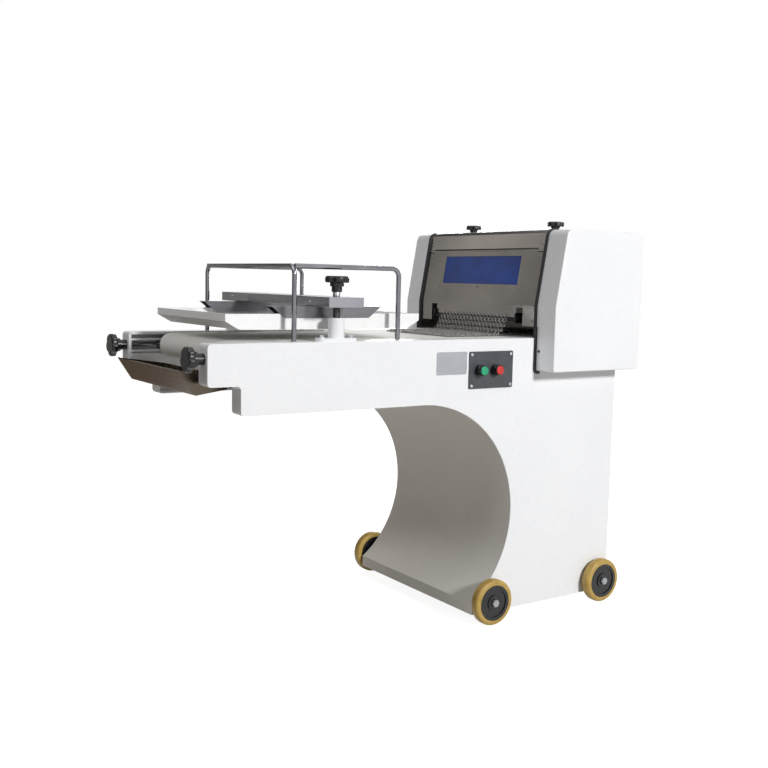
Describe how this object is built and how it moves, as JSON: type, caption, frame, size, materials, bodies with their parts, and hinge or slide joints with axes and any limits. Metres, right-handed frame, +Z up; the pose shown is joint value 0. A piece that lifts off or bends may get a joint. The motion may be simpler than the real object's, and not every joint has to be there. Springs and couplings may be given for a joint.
{
  "type": "dough moulder",
  "caption": "Free-standing bakery dough moulder on wheels: hooded sheeting head, cantilevered conveyor and height-adjustable pressure board under a wire guard.",
  "frame": {"origin": "on the floor under the middle of the machine's outline", "axes": "+X from the discharge end to the hood, +Z up, the operator's side at -Y"},
  "size_m": [1.338, 0.69, 1.0963],
  "materials": {
    "white_paint": "smooth semi-gloss powder coat",
    "grey_paint": "semi-gloss paint",
    "stainless": "brushed",
    "bright_steel": "polished",
    "dark_steel": "blackened",
    "gear_steel": "machined, oiled",
    "cast_iron": "painted casting",
    "black_plastic": "fine matte",
    "black_rubber": "matte",
    "amber_polyurethane": "satin cast",
    "belt_cream": "coated weave",
    "board_white": "gloss",
    "roller_white": "satin non-stick",
    "window_blue": "tinted clear sheet",
    "plate_slate": "satin",
    "button_green": "gloss",
    "button_red": "gloss"
  },
  "bodies": {
    "frame": {"side_panel_near": "white_paint", "side_panel_far": "white_paint", "inner_rails": "white_paint", "scoop_panel": "white_paint", "rear_panel": "white_paint", "base_frame": "grey_paint", "bed_plate": "stainless", "conveyor_belt": "belt_cream", "flange_bearings": "cast_iron", "discharge_tray": "stainless", "guard_hoop": "bright_steel", "guard_side_rods": "bright_steel", "bridge_posts": "white_paint", "side_cover_near": "white_paint", "side_cover_far": "white_paint", "cover_trim": "black_rubber", "head_plates": "stainless", "hood_shell": "stainless", "infeed_chute": "stainless", "lower_scraper": "stainless", "curtain_hanger": "stainless", "chain_curtain": "stainless", "control_plate": "plate_slate", "button_collars": "black_plastic", "contact_block": "black_plastic", "gearmotor": "grey_paint", "drive_chain": "dark_steel", "cable_gland": "black_plastic"},
    "takeup": {"takeup_blocks": "bright_steel"},
    "idler": {"idler_roller": "bright_steel"},
    "tension_near": {"tension_knob_near": "black_plastic", "tension_screw_near": "bright_steel"},
    "tension_far": {"tension_knob_far": "black_plastic", "tension_screw_far": "bright_steel"},
    "drive": {"drive_roller": "bright_steel"},
    "lower_sheeter": {"lower_roller": "roller_white", "lower_gear": "gear_steel"},
    "yoke": {"gap_yoke": "gear_steel"},
    "upper_sheeter": {"upper_roller": "roller_white", "upper_gear": "gear_steel"},
    "gap_near": {"gap_knob_near": "black_plastic"},
    "gap_far": {"gap_knob_far": "black_plastic"},
    "bridge": {"bridge_channel": "stainless", "hanger_beams": "stainless", "pressure_board": "board_white"},
    "height": {"height_knob": "black_plastic", "height_spindle": "dark_steel"},
    "guard": {"front_guard": "stainless", "window": "window_blue"},
    "start": {"start_button": "button_green"},
    "stop": {"stop_button": "button_red"},
    "motor_shaft": {"motor_sprocket": "gear_steel"},
    "wheel_front_near": {"wheel_core_front_near": "black_plastic", "tyre_front_near": "amber_polyurethane"},
    "wheel_front_far": {"wheel_core_front_far": "black_plastic", "tyre_front_far": "amber_polyurethane"},
    "wheel_rear_near": {"wheel_core_rear_near": "black_plastic", "tyre_rear_near": "amber_polyurethane"},
    "wheel_rear_far": {"wheel_core_rear_far": "black_plastic", "tyre_rear_far": "amber_polyurethane"}
  },
  "joints": [
    {"name": "lower_roller_spin", "type": "hinge", "parent": "frame", "child": "lower_sheeter", "pos_m": [0.48, 0, 0.862], "axis": [0, 1, 0], "continuous": true},
    {"name": "gap_slide", "type": "slide", "parent": "frame", "child": "yoke", "axis": [0, 0, 1], "range_m": [0, 0.008]},
    {"name": "upper_roller_spin", "type": "hinge", "parent": "yoke", "child": "upper_sheeter", "pos_m": [0.48, 0, 0.965], "axis": [0, 1, 0], "continuous": true},
    {"name": "gap_knob_near_turn", "type": "hinge", "parent": "frame", "child": "gap_near", "pos_m": [0.48, -0.185, 1.09], "axis": [0, 0, -1], "range_deg": [0, 1441]},
    {"name": "gap_knob_far_turn", "type": "hinge", "parent": "frame", "child": "gap_far", "pos_m": [0.48, 0.185, 1.09], "axis": [0, 0, -1], "range_deg": [0, 1441]},
    {"name": "drive_roller_spin", "type": "hinge", "parent": "frame", "child": "drive", "pos_m": [0.494, 0, 0.738], "axis": [0, 1, 0], "continuous": true},
    {"name": "takeup_slide", "type": "slide", "parent": "frame", "child": "takeup", "axis": [1, 0, 0], "range_m": [0, 0.015]},
    {"name": "idler_roller_spin", "type": "hinge", "parent": "takeup", "child": "idler", "pos_m": [-0.512, 0, 0.738], "axis": [0, 1, 0], "continuous": true},
    {"name": "tension_knob_near_turn", "type": "hinge", "parent": "frame", "child": "tension_near", "pos_m": [-0.656, -0.249, 0.738], "axis": [-1, 0, 0], "range_deg": [0, 2701]},
    {"name": "tension_knob_far_turn", "type": "hinge", "parent": "frame", "child": "tension_far", "pos_m": [-0.656, 0.249, 0.738], "axis": [-1, 0, 0], "range_deg": [0, 2701]},
    {"name": "motor_shaft_spin", "type": "hinge", "parent": "frame", "child": "motor_shaft", "pos_m": [0.594, 0, 0.72], "axis": [0, 1, 0], "continuous": true},
    {"name": "board_height", "type": "slide", "parent": "frame", "child": "bridge", "axis": [0, 0, 1], "range_m": [-0.012, 0.01]},
    {"name": "height_knob_turn", "type": "hinge", "parent": "bridge", "child": "height", "pos_m": [-0.281, -0.249, 0.9], "axis": [0, 0, 1], "range_deg": [-1081, 901]},
    {"name": "front_guard_swing", "type": "hinge", "parent": "frame", "child": "guard", "pos_m": [0.37448, 0, 1.013], "axis": [0, 1, 0], "range_deg": [0, 75]},
    {"name": "start_press", "type": "slide", "parent": "frame", "child": "start", "axis": [0, 1, 0], "range_m": [0, 0.004], "stiffness_N_per_m": 900},
    {"name": "stop_press", "type": "slide", "parent": "frame", "child": "stop", "axis": [0, 1, 0], "range_m": [0, 0.004], "stiffness_N_per_m": 900},
    {"name": "wheel_front_near_roll", "type": "hinge", "parent": "frame", "child": "wheel_front_near", "pos_m": [0.196, 0, 0.0625], "axis": [0, 1, 0], "continuous": true},
    {"name": "wheel_front_far_roll", "type": "hinge", "parent": "frame", "child": "wheel_front_far", "pos_m": [0.196, 0, 0.0625], "axis": [0, 1, 0], "continuous": true},
    {"name": "wheel_rear_near_roll", "type": "hinge", "parent": "frame", "child": "wheel_rear_near", "pos_m": [0.6065, 0, 0.0625], "axis": [0, 1, 0], "continuous": true},
    {"name": "wheel_rear_far_roll", "type": "hinge", "parent": "frame", "child": "wheel_rear_far", "pos_m": [0.6065, 0, 0.0625], "axis": [0, 1, 0], "continuous": true}
  ],
  "couplings": [
    {"joint": "upper_roller_spin", "follows": "lower_roller_spin", "ratio": -1},
    {"joint": "drive_roller_spin", "follows": "lower_roller_spin", "ratio": 1.5625},
    {"joint": "idler_roller_spin", "follows": "lower_roller_spin", "ratio": 1.5625},
    {"joint": "motor_shaft_spin", "follows": "lower_roller_spin", "ratio": 2.0833},
    {"joint": "gap_knob_near_turn", "follows": "gap_slide", "rad_per_m": 3141.6},
    {"joint": "gap_knob_far_turn", "follows": "gap_slide", "rad_per_m": 3141.6},
    {"joint": "tension_knob_near_turn", "follows": "takeup_slide", "rad_per_m": 3141.6},
    {"joint": "tension_knob_far_turn", "follows": "takeup_slide", "rad_per_m": 3141.6},
    {"joint": "height_knob_turn", "follows": "board_height", "rad_per_m": 1570.8}
  ]
}
